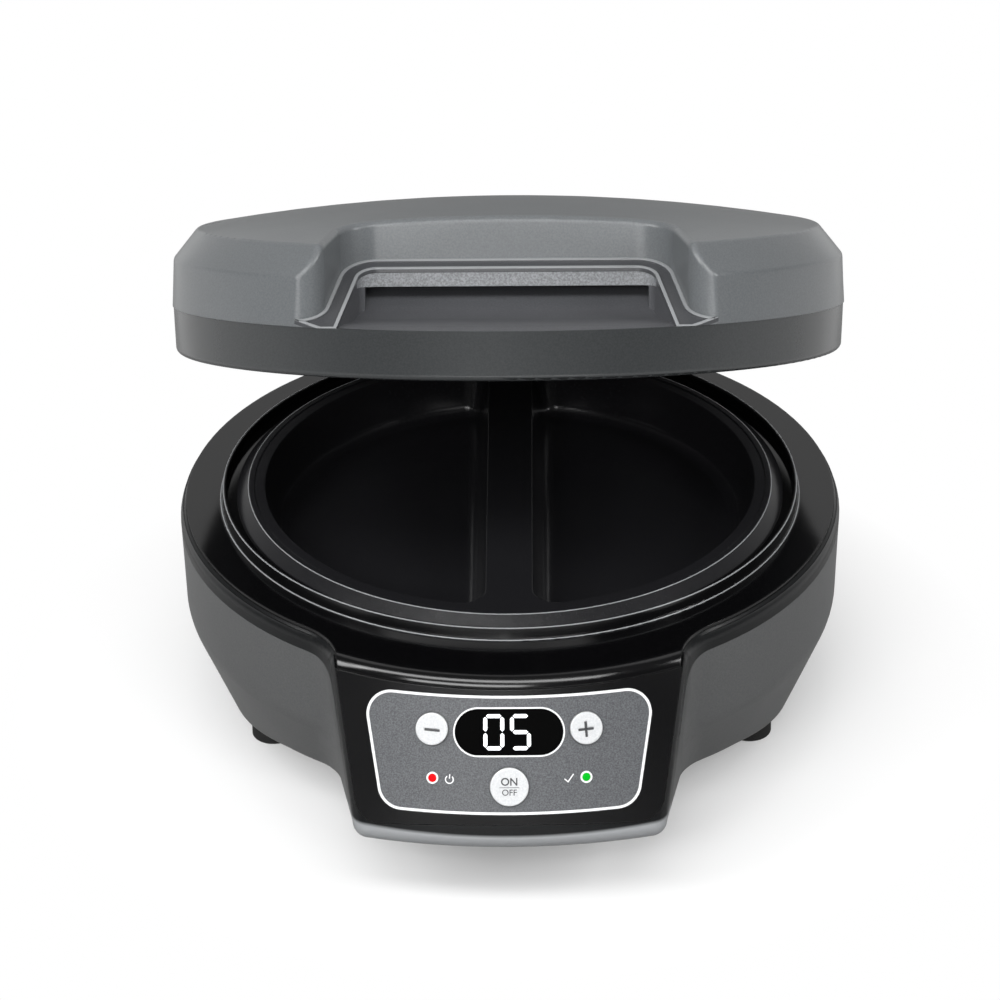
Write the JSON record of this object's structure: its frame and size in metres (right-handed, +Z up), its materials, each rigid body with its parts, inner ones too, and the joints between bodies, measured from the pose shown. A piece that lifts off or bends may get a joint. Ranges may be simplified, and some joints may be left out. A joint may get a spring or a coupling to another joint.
{
  "type": "electric omelette maker",
  "caption": "Round countertop omelette cooker with half-moon wells in a hinged two-plate lid, a sloping control nose with display, push buttons and lights, and a scooped lid handle.",
  "frame": {"origin": "on the table plane under the feet, on the axis of the round base", "axes": "+Z up, +X to the user's right when facing the controls, -Y towards the user and the controls, +Y towards the hinge"},
  "size_m": [0.2708, 0.3296, 0.2379],
  "materials": {
    "grey_abs": "mid-grey moulded ABS, satin with a fine grain",
    "dark_abs": "very dark grey moulded ABS, satin",
    "black_phenolic": "black heat-proof plastic, half gloss",
    "steel": "zinc-plated steel fastener",
    "rubber": "black rubber",
    "face_black": "black satin plastic of the control face",
    "label_grey": "speckled mid-grey label film",
    "white_print": "white glossy plastic trim",
    "digit_white": "lit white light guide",
    "display_black": "black tinted acrylic",
    "natural_nylon": "natural nylon",
    "circuit_board": "green circuit board",
    "button_white": "pearl-white plastic",
    "hinge_nylon": "glass-filled nylon, dark grey",
    "red_lens": "red light guide",
    "green_lens": "green light guide",
    "nonstick": "die-cast aluminium under a black non-stick coating",
    "heater_sheath": "heater tube sheath, annealed",
    "sheet_steel": "pressed zinc-coated steel sheet",
    "phenolic_brown": "brown phenolic thermostat body",
    "bezel_grey": "light silver-grey moulded plastic",
    "grip_grey": "grey plastic with a grip texture",
    "scoop_grey": "dark grey textured plastic"
  },
  "bodies": {
    "base": {"base_shell": "grey_abs", "bottom_cover": "dark_abs", "rim_frame": "dark_abs", "top_deck": "black_phenolic", "deck_screws": "steel", "rubber_feet": "rubber", "cover_screws": "steel", "cord_inlet": "rubber", "control_housing": "face_black", "control_panel": "label_grey", "panel_outline": "white_print", "display_bezel": "white_print", "display_digits": "digit_white", "display_window": "display_black", "display_module": "natural_nylon", "control_board": "circuit_board", "board_screws": "steel", "tact_switches": "hinge_nylon", "power_light": "red_lens", "ready_light": "green_lens", "light_rings": "white_print", "lower_cooking_plate": "nonstick", "plate_screws": "steel", "lower_heater": "heater_sheath", "heat_shield": "sheet_steel", "thermostat": "phenolic_brown", "thermal_fuse": "steel", "power_board": "circuit_board", "power_board_posts": "natural_nylon", "base_hinge_bracket": "hinge_nylon", "hinge_screws": "steel", "hinge_pin": "steel", "hinge_clips": "steel"},
    "lid": {"lid_skirt": "dark_abs", "lid_cover": "grey_abs", "handle_bezel": "bezel_grey", "handle_grip": "grip_grey", "handle_scoop": "scoop_grey", "lid_screws": "steel", "upper_cooking_plate": "nonstick", "upper_plate_screws": "steel", "upper_heater": "heater_sheath", "lid_heat_shield": "sheet_steel", "shield_screws": "steel", "upper_thermostat": "phenolic_brown", "lid_hinge_bracket": "hinge_nylon", "bracket_screws": "steel"},
    "button_minus": {"button_minus": "button_white"},
    "button_plus": {"button_plus": "button_white"},
    "button_start": {"button_start": "button_white"}
  },
  "joints": [
    {"name": "lid_hinge", "type": "hinge", "parent": "base", "child": "lid", "pos_m": [0, 0.152, 0.094], "axis": [-1, 0, 0], "range_deg": [-22.5, 72.5]},
    {"name": "minus_press", "type": "slide", "parent": "base", "child": "button_minus", "axis": [0.1725, 0.8821, -0.4384], "range_m": [0, 0.0008], "stiffness_N_per_m": 900, "springref_m": -0.0006},
    {"name": "plus_press", "type": "slide", "parent": "base", "child": "button_plus", "axis": [-0.1725, 0.8821, -0.4384], "range_m": [0, 0.0008], "stiffness_N_per_m": 900, "springref_m": -0.0006},
    {"name": "start_press", "type": "slide", "parent": "base", "child": "button_start", "axis": [0, 0.8988, -0.4384], "range_m": [0, 0.0008], "stiffness_N_per_m": 900, "springref_m": -0.0006}
  ]
}
